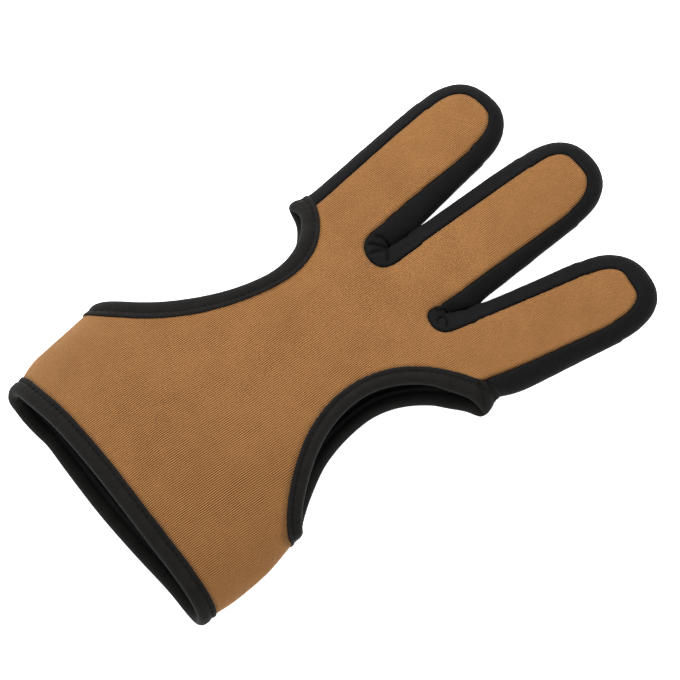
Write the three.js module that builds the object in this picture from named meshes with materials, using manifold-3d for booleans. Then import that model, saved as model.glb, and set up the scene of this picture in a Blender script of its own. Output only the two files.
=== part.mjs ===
// A three-finger archery glove of laminated neoprene, lying on its palm.
// The palm side is down (z = 0), the fingers point along +X and the thumb side is -Y.
// Every sheet is a box of thin cells bent onto the glove's skin, then trimmed to its seams.
import * as THREE from 'three';
import { mergeVertices } from 'three/addons/utils/BufferGeometryUtils.js';
import Module from 'manifold-3d';

const wasm = await Module();
wasm.setup();

// Driving dimensions, millimetres and degrees.
const HAND_LENGTH = 102; // origin back to the wrist edge
const FINGER_BASE = 34.5; // origin forward to the finger roots
const WRIST_WIDTH = 110; // flat width between the side folds
const WRIST_HEIGHT = 30;
const FOLD_HEIGHT = 11; // side folds above the palm at the wrist
const FINGER_HEIGHT = 12;
const FINGER_FOLD = 6; // side of a finger above the palm
const FINGER_CROWN = 1; // slight arch across a finger
const FINGER_TAPER = 1.5; // lost from the half width towards the tip
const TIP_LENGTH = 21;
const TIP_POWER = 2.35; // squareness of the fingertips
const FINGER_CORNER = 9; // rounding from the top of a finger to its side
const PALM_CORNER = 14; // rounding under the wrist folds
const SHEET = 2.5; // laminated neoprene
const STRIP = 1.6; // stretch side strip
const STRIP_UNDER = 5.5; // width of the strip under a finger
const TAPE = 0.9; // binding tape
const WRIST_TAPE_WIDTH = 5.5;
const CUTOUT_TAPE_WIDTH = 4.9;
const CLEARANCE = 0.3; // between neighbouring pieces
const TAPE_EASE = 0.6; // between the tape and the sheet inside it
const CROTCH_SLIT = 0.8; // between two fingers pressed together
const EDGE_LIFT = 1.72; // palm side rises this much at its bound edges
const EDGE_LIFT_REACH = 13;
const SEAM_INSET = 13; // palm seams in from the side folds
const STRIP_TAIL = 30.5; // the side strip runs back this far from the finger roots
const WRIST_SLANT = 0.12; // the top of the wrist edge stands forward of its underside

// Fingers from the thumb side to the little-finger side.
const FINGERS = [
  { across: -35.3, length: 68.1, turn: -12.4, halfWidth: 17.5, stripThumbSide: 7.0, stripLittleSide: 6.0 },
  { across: -1.4, length: 81.1, turn: 0, halfWidth: 18.0, stripThumbSide: 5.0, stripLittleSide: 6.2 },
  { across: 33.2, length: 68.5, turn: 6.4, halfWidth: 18.1, stripThumbSide: 6.1, stripLittleSide: 5.1 },
];
const STRIP_AT_TIP = 6;

// Where the skin between two fingers ends, from the thumb side on.
const CROTCHES = [
  { x: 34.2, y: -16.5, strip: 6.4, stripThumbFinger: 6, stripLittleFinger: 3.8 },
  { x: 36, y: 16.9, strip: 8.2, stripThumbFinger: 6.8, stripLittleFinger: 6.1 },
];

// Sections of the hand: place as a share of the hand length, folds as shares of the wrist
// width, heights as shares of the wrist height, corner as a share of the half width.
const SECTIONS = [
  { place: -1.0, thumbFold: -0.477, littleFold: 0.518, fold: 0.367, top: 1.0, corner: 1.0 },
  { place: -0.77, thumbFold: -0.471, littleFold: 0.553, fold: 0.367, top: 0.96, corner: 1.0 },
  { place: -0.587, thumbFold: -0.45, littleFold: 0.567, fold: 0.35, top: 0.86, corner: 0.95 },
  { place: -0.37, thumbFold: -0.41, littleFold: 0.5, fold: 0.3, top: 0.73, corner: 0.8 },
  { place: -0.14, thumbFold: -0.4, littleFold: 0.45, fold: 0.25, top: 0.62, corner: 0.6 },
];

// Sections over the finger roots: place as a share of the finger base, top as a share of the
// finger height, corner as a share of the half width.
const KNUCKLES = [
  { place: 0.232, top: 1.3, corner: 0.32 },
  { place: 0.812, top: 1.08, corner: 0.18 },
  { place: 1.275, top: 1.0, corner: 0.18 },
];

// Cut-outs: where they start and end and are deepest along X, and for each layer how deep
// the edge is cut from the line between the ends, and how full its curve is on either side.
const THUMB_CUTOUT = {
  side: -1,
  start: -58.5,
  deepest: -12,
  end: 24,
  over: { depth: 26.8, fullnessToWrist: 1.05, fullnessToFingers: 0.9 },
  under: { depth: 22.8, fullnessToWrist: 0.85, fullnessToFingers: 1.15 },
};
const LITTLE_CUTOUT = {
  side: 1,
  start: -60,
  deepest: -8,
  end: 21.5,
  over: { depth: 22.3, fullnessToWrist: 1, fullnessToFingers: 0.66 },
  under: { depth: 20.5, fullnessToWrist: 1, fullnessToFingers: 0.75 },
};
const CUTOUT_START = Math.min(THUMB_CUTOUT.start, LITTLE_CUTOUT.start);
const CUTOUT_END = Math.min(THUMB_CUTOUT.end, LITTLE_CUTOUT.end);
const KNUCKLE_START = KNUCKLES[0].place * FINGER_BASE;
const KNUCKLE_END = KNUCKLES[KNUCKLES.length - 1].place * FINGER_BASE;

const { lerp, smoothstep, degToRad } = THREE.MathUtils;
const TAPE_OUT = TAPE_EASE + TAPE;

// Finger geometry in plan.
const fingerAxis = (f) => new THREE.Vector2(1, 0).rotateAround(new THREE.Vector2(), degToRad(f.turn));
const halfWidthAt = (f, along) => f.halfWidth - FINGER_TAPER * (along / f.length);

function onFinger(f, along, across) {
  const axis = fingerAxis(f);
  return new THREE.Vector2(
    FINGER_BASE + axis.x * along - axis.y * across,
    f.across + axis.y * along + axis.x * across,
  );
}

// The straight side of a finger: side -1 towards the thumb, +1 towards the little finger.
const sidePoint = (f, side, along) => onFinger(f, along, side * halfWidthAt(f, along));

function sideLineY(f, side, x) {
  const a = sidePoint(f, side, 0);
  const b = sidePoint(f, side, f.length - TIP_LENGTH);
  return a.y + ((x - a.x) * (b.y - a.y)) / (b.x - a.x);
}

// The outermost line of the glove round its fingers, from cut-out to cut-out.
const OUTLINE_START = FINGER_BASE - STRIP_TAIL;
const OUTLINE = outline();

function outline() {
  const points = [];
  const add = (p, strip) => points.push({ p, strip });
  const lineTo = (from, to, strip, count) => {
    for (let i = 1; i <= count; i += 1) add(from.clone().lerp(to, i / count), strip);
  };
  FINGERS.forEach((f, n) => {
    const start = n === 0
      ? new THREE.Vector2(OUTLINE_START, sideLineY(f, -1, OUTLINE_START))
      : slitMouth(n - 1);
    if (n === 0) add(start, f.stripThumbSide);
    const tipStart = sidePoint(f, -1, f.length - TIP_LENGTH);
    lineTo(start, tipStart, f.stripThumbSide, n === 0 ? 9 : 5);
    const tipSteps = 12;
    for (let i = 1; i < tipSteps; i += 1) {
      const turn = degToRad(-90 + (180 * i) / tipSteps);
      const along = f.length - TIP_LENGTH + TIP_LENGTH * Math.cos(turn) ** (2 / TIP_POWER);
      const across = Math.sign(turn) * Math.abs(Math.sin(turn)) ** (2 / TIP_POWER);
      const strip = lerp(f.stripThumbSide, f.stripLittleSide, i / tipSteps);
      const atTip = 1 - Math.abs(2 * (i / tipSteps) - 1);
      add(onFinger(f, along, across * halfWidthAt(f, f.length)), lerp(strip, STRIP_AT_TIP, atTip));
    }
    const tipEnd = sidePoint(f, 1, f.length - TIP_LENGTH);
    add(tipEnd, f.stripLittleSide);
    if (n === FINGERS.length - 1) {
      lineTo(tipEnd, new THREE.Vector2(OUTLINE_START, sideLineY(f, 1, OUTLINE_START)), f.stripLittleSide, 9);
      return;
    }
    lineTo(tipEnd, slitMouth(n), f.stripLittleSide, 5);
    addCrotch(n, add, lineTo);
  });
  return points;
}

// Two neighbouring side lines meet here, and press together from here to the crotch.
function slitMouth(n) {
  const at = (x) => sideLineY(FINGERS[n], 1, x) - sideLineY(FINGERS[n + 1], -1, x);
  const x0 = CROTCHES[n].x;
  const slope = (at(x0 + 10) - at(x0)) / 10;
  const x = Math.max(x0 + 6, x0 - at(x0) / slope);
  return new THREE.Vector2(x, (sideLineY(FINGERS[n], 1, x) + sideLineY(FINGERS[n + 1], -1, x)) / 2);
}

function addCrotch(n, add, lineTo) {
  const crotch = CROTCHES[n];
  const end = new THREE.Vector2(crotch.x, crotch.y);
  const mouth = slitMouth(n);
  const back = mouth.clone().sub(end).normalize();
  const across = new THREE.Vector2(-back.y, back.x);
  const half = CROTCH_SLIT / 2;
  const centre = end.clone().addScaledVector(back, half);
  const nearSide = crotch.stripThumbFinger;
  const farSide = crotch.stripLittleFinger;
  lineTo(mouth.clone().addScaledVector(across, -half), centre.clone().addScaledVector(across, -half), nearSide, 3);
  const fanSteps = 6;
  for (let i = 1; i < fanSteps; i += 1) {
    const turn = (Math.PI * i) / fanSteps;
    const strip = lerp(lerp(nearSide, farSide, i / fanSteps), crotch.strip, Math.sin(turn) ** 0.7);
    const p = centre.clone().addScaledVector(across, -half * Math.cos(turn));
    add(p.addScaledVector(back, -half * Math.sin(turn)), strip);
  }
  add(centre.clone().addScaledVector(across, half), farSide);
  lineTo(centre.clone().addScaledVector(across, half), mouth.clone().addScaledVector(across, half), farSide, 3);
}

// The outline moved in by a distance, which may follow the strip's width.
function outlineMovedIn(distance) {
  return OUTLINE.map(({ p, strip }, i) => {
    const before = OUTLINE[Math.max(i - 1, 0)].p;
    const after = OUTLINE[Math.min(i + 1, OUTLINE.length - 1)].p;
    const along = after.clone().sub(before).normalize();
    return p.clone().add(new THREE.Vector2(-along.y, along.x).multiplyScalar(distance(strip)));
  });
}

function distanceToOutline(x, y) {
  let best = Infinity;
  for (let i = 1; i < OUTLINE.length; i += 1) {
    const a = OUTLINE[i - 1].p;
    const b = OUTLINE[i].p;
    const dx = b.x - a.x;
    const dy = b.y - a.y;
    const t = THREE.MathUtils.clamp(((x - a.x) * dx + (y - a.y) * dy) / (dx * dx + dy * dy), 0, 1);
    best = Math.min(best, Math.hypot(x - a.x - t * dx, y - a.y - t * dy));
  }
  return best;
}

// The hand's section at x: its two folds, their height, the crown and the corner radius.
const STATIONS = SECTIONS.map((s) => ({
  x: s.place * HAND_LENGTH,
  thumb: s.thumbFold * WRIST_WIDTH,
  little: s.littleFold * WRIST_WIDTH,
  fold: s.fold * WRIST_HEIGHT * (FOLD_HEIGHT / (SECTIONS[0].fold * WRIST_HEIGHT)),
  top: s.top * WRIST_HEIGHT,
  corner: s.corner,
}));
for (const { place, top, corner } of KNUCKLES) {
  const x = place * FINGER_BASE;
  STATIONS.push({
    x,
    thumb: sideLineY(FINGERS[0], -1, x),
    little: sideLineY(FINGERS[2], 1, x),
    fold: FINGER_FOLD,
    top: top * FINGER_HEIGHT,
    corner,
  });
}
const CURVES = Object.fromEntries(
  ['thumb', 'little', 'fold', 'top', 'corner'].map((key) => [key, softCurve(STATIONS.map((s) => [s.x, s[key]]))]),
);

// A smooth curve through (x, value) pairs that never swings past them.
function softCurve(pairs) {
  const slopes = pairs.map(([x, v], i) => {
    if (i === 0 || i === pairs.length - 1) return 0;
    const left = (v - pairs[i - 1][1]) / (x - pairs[i - 1][0]);
    const right = (pairs[i + 1][1] - v) / (pairs[i + 1][0] - x);
    return left * right <= 0 ? 0 : (2 * left * right) / (left + right);
  });
  return (x) => {
    if (x <= pairs[0][0]) return pairs[0][1];
    const last = pairs.length - 1;
    if (x >= pairs[last][0]) return pairs[last][1];
    const i = pairs.findIndex(([px]) => px > x) - 1;
    const span = pairs[i + 1][0] - pairs[i][0];
    const t = (x - pairs[i][0]) / span;
    const rise = t * t * (3 - 2 * t);
    return lerp(pairs[i][1], pairs[i + 1][1], rise)
      + span * (slopes[i] * t * (1 - t) ** 2 - slopes[i + 1] * t * t * (1 - t));
  };
}

function section(x) {
  const beyond = x > KNUCKLE_START;
  const thumb = beyond ? sideLineY(FINGERS[0], -1, x) : CURVES.thumb(x);
  const little = beyond ? sideLineY(FINGERS[2], 1, x) : CURVES.little(x);
  const half = (little - thumb) / 2;
  return {
    centre: (little + thumb) / 2,
    half,
    fold: CURVES.fold(x),
    top: CURVES.top(x),
    corner: CURVES.corner(x) * half,
  };
}

// Height share of a quarter-round corner at a distance in from the fold.
const cornerRise = (inFromFold, radius) => {
  const t = 1 - THREE.MathUtils.clamp(inFromFold / radius, 0, 1);
  return Math.sqrt(1 - t * t);
};

// How much the fingers' own form rules at a place.
function fingerShare(x, toOutline) {
  const inPlan = smoothstep(x, KNUCKLE_START, KNUCKLE_END);
  const nearEdge = x > OUTLINE_START ? 1 - smoothstep(toOutline, FINGER_CORNER / 1.5, FINGER_CORNER * 1.7) : 0;
  return Math.max(inPlan, nearEdge * smoothstep(x, OUTLINE_START + 2, OUTLINE_START + 14));
}

function topAt(x, y, least = 0) {
  const s = section(x);
  const q = Math.min(Math.abs(y - s.centre) / s.half, 1);
  const crown = 1 - Math.min(s.corner / s.half, 1);
  const arch = (s.top - s.fold) * (1 - 0.3 * crown) * cornerRise(s.half * (1 - q), s.corner)
    + (s.top - s.fold) * 0.3 * crown * (1 - q * q);
  const hand = s.fold + arch;
  if (x < OUTLINE_START) return hand;
  const inside = Math.max(distanceToOutline(x, y), least);
  const share = fingerShare(x, inside);
  const q2 = 1 - Math.min(inside / FINGERS[1].halfWidth, 1);
  const finger = FINGER_FOLD + FINGER_CROWN * (1 - q2 * q2)
    + (FINGER_HEIGHT - FINGER_CROWN - FINGER_FOLD) * cornerRise(inside, FINGER_CORNER);
  return lerp(hand, finger, share);
}

function undersideAt(x, y, least = 0) {
  const s = section(x);
  const inHand = Math.max(s.half - Math.abs(y - s.centre), 0);
  const radius = lerp(PALM_CORNER, FINGER_CORNER, smoothstep(x, CUTOUT_START, CUTOUT_END));
  let z = s.fold * (1 - cornerRise(inHand, radius));
  if (x > OUTLINE_START) {
    const inside = Math.max(distanceToOutline(x, y), least);
    const finger = FINGER_FOLD * (1 - cornerRise(inside, FINGER_CORNER));
    z = lerp(z, finger, fingerShare(x, inside));
  }
  return z + EDGE_LIFT * (1 - z / s.fold) * (1 - smoothstep(toBoundEdge(x, y), EDGE_LIFT_REACH / 3, EDGE_LIFT_REACH));
}

// Distance in plan to the nearest bound edge of the palm side.
function toBoundEdge(x, y) {
  let best = x + HAND_LENGTH;
  for (const cutout of [THUMB_CUTOUT, LITTLE_CUTOUT]) {
    for (let i = 0; i <= 24; i += 1) {
      const cx = lerp(cutout.start, cutout.end, i / 24);
      best = Math.min(best, Math.hypot(x - cx, y - cutoutY(cutout, cx, cutout.under)));
    }
  }
  return best;
}

// The cut-out's edge in plan, for one layer.
function cutoutY(cutout, x, layer) {
  const foldY = (at) => {
    const s = section(at);
    return s.centre + cutout.side * s.half;
  };
  const line = lerp(foldY(cutout.start), foldY(cutout.end), (x - cutout.start) / (cutout.end - cutout.start));
  const towardsWrist = x < cutout.deepest;
  const reach = (towardsWrist ? cutout.start : cutout.end) - cutout.deepest;
  const u = THREE.MathUtils.clamp((x - cutout.deepest) / reach, 0, 1);
  const power = towardsWrist ? layer.fullnessToWrist : layer.fullnessToFingers;
  return line - cutout.side * layer.depth * (1 - u * u) ** power;
}

// The glove's outer skin. turn goes round the section: 0 is the crown, +90 the little-finger
// side fold, -90 the thumb side fold and 180 the middle of the palm.
function skin(x, turn, least = 0) {
  const s = section(x);
  const y = s.centre + s.half * Math.sin(turn);
  const z = Math.cos(turn) >= 0 ? topAt(x, y, least) : undersideAt(x, y, least);
  const slant = WRIST_SLANT * (1 - smoothstep(x, -HAND_LENGTH + 4, CUTOUT_START + 12));
  return new THREE.Vector3(x + slant * z, y, z);
}

// A point of the skin moved inwards along the skin's normal.
function inSkin(x, turn, depth, least = 0) {
  const p = skin(x, turn, least);
  if (depth === 0) return p;
  const alongX = skin(x + 0.4, turn, least).sub(skin(x - 0.4, turn, least));
  const around = skin(x, turn + 0.012, least).sub(skin(x, turn - 0.012, least));
  const outward = alongX.cross(around).normalize();
  return p.addScaledVector(outward, -depth);
}

// Solids.
function toSolid(geometry) {
  const shape = geometry.clone();
  shape.deleteAttribute('normal');
  shape.deleteAttribute('uv');
  const merged = mergeVertices(shape, 1e-4);
  const vertProperties = new Float32Array(merged.attributes.position.array);
  const triVerts = new Uint32Array(merged.index.array);
  const solid = new wasm.Manifold(new wasm.Mesh({ numProp: 3, vertProperties, triVerts }));
  if (solid.volume() > 0) return solid;
  for (let i = 0; i < triVerts.length; i += 3) {
    [triVerts[i], triVerts[i + 1]] = [triVerts[i + 1], triVerts[i]];
  }
  return new wasm.Manifold(new wasm.Mesh({ numProp: 3, vertProperties, triVerts }));
}

function toMesh(solid, name, material) {
  const { vertProperties, triVerts } = largest(solid).getMesh();
  const geometry = new THREE.BufferGeometry();
  geometry.setAttribute('position', new THREE.BufferAttribute(vertProperties, 3));
  geometry.setIndex(new THREE.BufferAttribute(triVerts, 1));
  geometry.computeVertexNormals();
  const mesh = new THREE.Mesh(geometry, material);
  mesh.name = name;
  return mesh;
}

// Trimming can leave crumbs: the piece is the largest body.
const largest = (solid) => solid.decompose().reduce((a, b) => (a.volume() > b.volume() ? a : b));

// A box of cells, each corner sent to place(u, v, w) with all three from 0 to 1.
function bentBox(cellsU, cellsV, place) {
  const geometry = new THREE.BoxGeometry(1, 1, 1, cellsU, cellsV, 1);
  const at = geometry.attributes.position;
  for (let i = 0; i < at.count; i += 1) {
    const p = place(at.getX(i) + 0.5, at.getY(i) + 0.5, at.getZ(i) + 0.5);
    at.setXYZ(i, p.x, p.y, p.z);
  }
  return toSolid(geometry);
}

// An upright prism over a plan outline.
function upright(points, bottom, top) {
  const geometry = new THREE.ExtrudeGeometry(new THREE.Shape(points), { depth: top - bottom, bevelEnabled: false });
  geometry.translate(0, 0, bottom);
  return toSolid(geometry);
}

// Bindings: a folded tape with two legs, swept along an edge of the skin.
function tapeSection(width, ease, wall) {
  const out = ease + wall;
  const far = SHEET + out;
  return [
    [width, -out], [width / 2, -out], [0, -out], [-out, 0], [-out, SHEET], [0, far], [width / 2, far], [width, far],
    [width, far - wall], [width / 2, far - wall], [-ease, far - wall], [-ease, wall - out],
    [width / 2, wall - out], [width, wall - out],
  ];
}

function sweptTape(sectionPoints, steps, place) {
  const sides = sectionPoints.length;
  const geometry = new THREE.TorusGeometry(2, 1, sides, steps);
  const at = geometry.attributes.position;
  for (let i = 0; i < at.count; i += 1) {
    const step = i % (steps + 1) % steps;
    const [across, deep] = sectionPoints[Math.floor(i / (steps + 1)) % sides];
    const p = place(step, across, deep);
    at.setXYZ(i, p.x, p.y, p.z);
  }
  return toSolid(geometry);
}

const TURN = 2 * Math.PI;
const WRIST_STEPS = 44;
const wristTape = (sectionPoints) => sweptTape(sectionPoints, WRIST_STEPS, (step, across, deep) => (
  inSkin(-HAND_LENGTH + across, (TURN * step) / WRIST_STEPS, deep)
));

// A cut-out's edge as (x, turn) places on the skin, all the way round.
const CUTOUT_STEPS = 40;

function cutoutEdge(cutout) {
  return Array.from({ length: CUTOUT_STEPS }, (_, i) => {
    const round = (TURN * i) / CUTOUT_STEPS;
    const x = lerp(cutout.start, cutout.end, (1 - Math.cos(round)) / 2);
    const over = Math.sin(round) >= 0;
    const s = section(x);
    const y = cutoutY(cutout, x, over ? cutout.over : cutout.under);
    const turn = Math.asin(THREE.MathUtils.clamp((y - s.centre) / s.half, -1, 1));
    return { x, turn: over ? turn : cutout.side * Math.PI - turn };
  });
}

// The place on the skin nearest to a point a little off it.
function placeOnSkin(point, side) {
  const x = point.x;
  const s = section(x);
  const over = point.z >= s.fold;
  const radius = over ? s.corner : lerp(PALM_CORNER, FINGER_CORNER, smoothstep(x, CUTOUT_START, CUTOUT_END));
  const rise = over ? topAt(x, s.centre + side * (s.half - radius)) - s.fold : s.fold;
  const inFrom = s.half - side * (point.y - s.centre);
  let inward = inFrom;
  if (inFrom < radius) {
    const angle = Math.atan2(Math.abs(point.z - s.fold) / rise, 1 - inFrom / radius);
    inward = radius * (1 - Math.cos(angle));
  }
  const turn = side * Math.asin(THREE.MathUtils.clamp(1 - inward / s.half, -1, 1));
  return { x, turn: over ? turn : side * Math.PI - turn };
}

function cutoutFrames(cutout) {
  const edge = cutoutEdge(cutout);
  const points = edge.map(({ x, turn }) => skin(x, turn));
  const middle = points.reduce((sum, p) => sum.add(p), new THREE.Vector3()).divideScalar(points.length);
  return points.map((p, i) => {
    const along = points[(i + 1) % points.length].clone().sub(points[(i + points.length - 1) % points.length]);
    const inward = inSkin(edge[i].x, edge[i].turn, 1).sub(p);
    const away = along.cross(inward).normalize();
    if (away.dot(p.clone().sub(middle)) < 0) away.negate();
    return { p, away };
  });
}

function cutoutTape(cutout, sectionPoints) {
  const frames = cutoutFrames(cutout);
  return sweptTape(sectionPoints, CUTOUT_STEPS, (step, across, deep) => {
    const { p, away } = frames[step];
    const place = placeOnSkin(p.clone().addScaledVector(away, across), cutout.side);
    return inSkin(place.x, place.turn, deep);
  });
}

// What a cut-out removes from one layer: everything outside its edge, moved in so that the
// sheet ends inside the folded tape.
const SHEET_IN_TAPE = 3;

function cutoutTool(cutout, over, bottom, top) {
  const frames = cutoutFrames(cutout);
  const half = frames.filter((_, i) => (over ? i <= CUTOUT_STEPS / 2 : i >= CUTOUT_STEPS / 2 || i === 0));
  if (!over) half.push(half.shift());
  const plan = half.map(({ p, away }) => {
    const place = placeOnSkin(p.clone().addScaledVector(away, SHEET_IN_TAPE), cutout.side);
    const at = skin(place.x, place.turn);
    return new THREE.Vector2(at.x, at.y);
  });
  const far = cutout.side * WRIST_WIDTH;
  const last = plan[plan.length - 1];
  return upright([...plan, new THREE.Vector2(last.x, far), new THREE.Vector2(plan[0].x, far)], bottom, top);
}

// Trimming outlines.
const FAR_BACK = -2 * HAND_LENGTH;

function insideStrip(distance) {
  const points = outlineMovedIn(distance);
  const wide = WRIST_WIDTH;
  points.push(new THREE.Vector2(OUTLINE_START, wide), new THREE.Vector2(FAR_BACK, wide));
  points.push(new THREE.Vector2(FAR_BACK, -wide), new THREE.Vector2(OUTLINE_START, -wide));
  return upright(points, -10, 2 * WRIST_HEIGHT);
}

// The palm seams run from the wrist to the cut-outs, on both sides.
const SEAM_END = 0.6 * CUTOUT_START;
const UNDER_TOP = FOLD_HEIGHT / 2; // the palm side's sheet lies below this

function seamLine(side, offset) {
  return [-HAND_LENGTH - 9, -HAND_LENGTH / 1.2, CUTOUT_START - 4, SEAM_END].map((x) => {
    const s = section(x);
    const inset = lerp(SEAM_INSET, SEAM_INSET / 2, smoothstep(x, CUTOUT_START - 12, SEAM_END));
    return new THREE.Vector2(x, s.centre + side * (s.half - inset) + side * offset);
  });
}

const forwardOf = (x, wide) => [
  new THREE.Vector2(x, -wide), new THREE.Vector2(2 * FRONT, -wide),
  new THREE.Vector2(2 * FRONT, wide), new THREE.Vector2(x, wide),
];

function betweenSeams(offset, bottom, top) {
  const thumb = seamLine(-1, offset);
  const little = seamLine(1, offset).reverse();
  return upright([...thumb, ...little], bottom, top);
}

// Materials.
const brownKnit = new THREE.MeshStandardMaterial({ color: 0xa9743f, roughness: 0.95, metalness: 0 });
const blackKnit = new THREE.MeshStandardMaterial({ color: 0x1b1b1d, roughness: 0.9, metalness: 0 });

// Pieces.
const wristTapeSolid = wristTape(tapeSection(WRIST_TAPE_WIDTH, TAPE_EASE, TAPE));
const wristTapeSpace = wristTape(tapeSection(WRIST_TAPE_WIDTH + CLEARANCE, 0.05, TAPE + 2 * TAPE_EASE));
const cutoutTapes = [THUMB_CUTOUT, LITTLE_CUTOUT].map((cutout) => ({
  cutout,
  solid: cutoutTape(cutout, tapeSection(CUTOUT_TAPE_WIDTH, TAPE_EASE, TAPE)),
  space: cutoutTape(cutout, tapeSection(CUTOUT_TAPE_WIDTH + CLEARANCE, 0.05, TAPE + 2 * TAPE_EASE)),
}));
const leaveRoomForTapes = (solid) => cutoutTapes.reduce(
  (rest, { space }) => rest.subtract(space),
  solid.subtract(wristTapeSpace),
);

const FRONT = FINGER_BASE + FINGERS[1].length + 4;
const BACK = -HAND_LENGTH + CLEARANCE;
const EDGE_OF_STRIP = 3.4;

// Back panel: over the hand, round both wrist folds to the palm seams.
function backPanel() {
  const reach = degToRad(90 + 62);
  let solid = bentBox(30, 28, (u, v, w) => inSkin(
    lerp(BACK, FRONT, u),
    lerp(-reach, reach, v),
    SHEET * (1 - w),
    EDGE_OF_STRIP,
  ));
  const wristFold = CURVES.fold(CUTOUT_START);
  const forward = upright(forwardOf(SEAM_END, WRIST_WIDTH), -10, 2 * WRIST_HEIGHT);
  for (const cutout of [THUMB_CUTOUT, LITTLE_CUTOUT]) {
    solid = solid.subtract(cutoutTool(cutout, true, wristFold, 2 * WRIST_HEIGHT));
    solid = solid.subtract(cutoutTool(cutout, true, UNDER_TOP, 2 * WRIST_HEIGHT).intersect(forward));
    solid = solid.subtract(cutoutTool(cutout, false, -10, wristFold));
  }
  solid = solid.subtract(upright(forwardOf(SEAM_END, WRIST_WIDTH), -10, UNDER_TOP));
  solid = solid.subtract(betweenSeams(CLEARANCE / 2, -10, UNDER_TOP));
  return solid.intersect(insideStrip((strip) => strip + CLEARANCE));
}

// Palm panel: the flat underside between the seams, and under the fingers.
function palmPanel() {
  let solid = bentBox(28, 16, (u, v, w) => {
    const x = lerp(BACK, FRONT, u);
    const turn = Math.PI - Math.asin(lerp(-0.97, 0.97, v));
    return inSkin(x, turn, SHEET * w, EDGE_OF_STRIP);
  });
  for (const cutout of [THUMB_CUTOUT, LITTLE_CUTOUT]) {
    solid = solid.subtract(cutoutTool(cutout, false, -10, 2 * WRIST_HEIGHT));
  }
  const keep = betweenSeams(-CLEARANCE / 2, -10, WRIST_HEIGHT);
  solid = solid.intersect(keep.add(upright(forwardOf(SEAM_END, WRIST_WIDTH), -10, WRIST_HEIGHT)));
  return solid.intersect(insideStrip(() => STRIP_UNDER + CLEARANCE));
}

// Side strip: follows the outline, from the upper seam round the side to the lower seam.
function fingerSidewall() {
  const inner = outlineMovedIn(() => 1);
  const last = OUTLINE.length - 1;
  const rim = (station, v) => {
    const { p, strip } = OUTLINE[station];
    const over = v >= 0.5;
    const widest = over ? strip : STRIP_UNDER;
    const limit = Math.acos(1 - widest / FINGER_CORNER);
    const inward = FINGER_CORNER * (1 - Math.cos(limit * Math.abs(2 * v - 1)));
    const at = p.clone().addScaledVector(inner[station].clone().sub(p), inward);
    return new THREE.Vector3(at.x, at.y, over ? topAt(at.x, at.y) : undersideAt(at.x, at.y));
  };
  const solid = bentBox(last, 6, (u, v, w) => {
    const station = Math.round(u * last);
    const p = rim(station, v);
    if (w === 1) return p;
    if (v === 0) return p.add(new THREE.Vector3(0, 0, STRIP));
    if (v === 1) return p.add(new THREE.Vector3(0, 0, -STRIP));
    const across = rim(station, v + 0.04).sub(rim(station, v - 0.04)).normalize();
    const inPlan = inner[station].clone().sub(OUTLINE[station].p);
    const towards = new THREE.Vector3(inPlan.x, inPlan.y, 0);
    const up = new THREE.Vector3(0, 0, 1);
    const rise = across.dot(up);
    const run = across.dot(towards);
    return p.addScaledVector(towards, STRIP * rise).addScaledVector(up, -STRIP * run);
  });
  let trimmed = solid;
  for (const cutout of [THUMB_CUTOUT, LITTLE_CUTOUT]) {
    trimmed = trimmed.subtract(cutoutTool(cutout, true, FINGER_FOLD, 2 * WRIST_HEIGHT));
    trimmed = trimmed.subtract(cutoutTool(cutout, false, -10, FINGER_FOLD));
  }
  return leaveRoomForTapes(trimmed);
}

const glove = new THREE.Group();
glove.add(toMesh(backPanel(), 'back_panel', brownKnit));
glove.add(toMesh(palmPanel(), 'palm_panel', brownKnit));
glove.add(toMesh(fingerSidewall(), 'finger_sidewall', blackKnit));
glove.add(toMesh(wristTapeSolid, 'wrist_binding', blackKnit));
glove.add(toMesh(cutoutTapes[0].solid, 'thumb_binding', blackKnit));
glove.add(toMesh(cutoutTapes[1].solid, 'little_finger_binding', blackKnit));

export default glove;
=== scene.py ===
# A three-finger archery glove of laminated neoprene, lying on its palm.
# Brown ribbed jersey outside and black inside, a black stretch strip round the fingers,
# and black folded bindings with one row of stitches at the wrist and both cut-outs.
import math

import bmesh
import bpy
import numpy as np
from mathutils import Matrix, Vector, noise


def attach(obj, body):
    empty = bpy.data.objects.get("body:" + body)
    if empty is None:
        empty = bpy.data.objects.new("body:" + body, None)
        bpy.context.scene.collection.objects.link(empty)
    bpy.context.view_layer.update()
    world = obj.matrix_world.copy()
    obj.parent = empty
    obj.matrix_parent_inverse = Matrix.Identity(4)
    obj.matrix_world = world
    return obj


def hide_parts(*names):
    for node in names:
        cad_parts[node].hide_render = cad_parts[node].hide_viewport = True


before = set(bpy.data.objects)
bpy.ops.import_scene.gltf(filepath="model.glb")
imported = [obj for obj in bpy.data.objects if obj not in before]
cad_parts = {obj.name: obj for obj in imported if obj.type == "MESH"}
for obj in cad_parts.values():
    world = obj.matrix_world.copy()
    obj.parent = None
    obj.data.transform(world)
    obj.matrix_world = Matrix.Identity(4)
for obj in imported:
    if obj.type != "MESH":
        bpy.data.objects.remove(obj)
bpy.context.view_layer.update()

MM = 0.001

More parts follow.
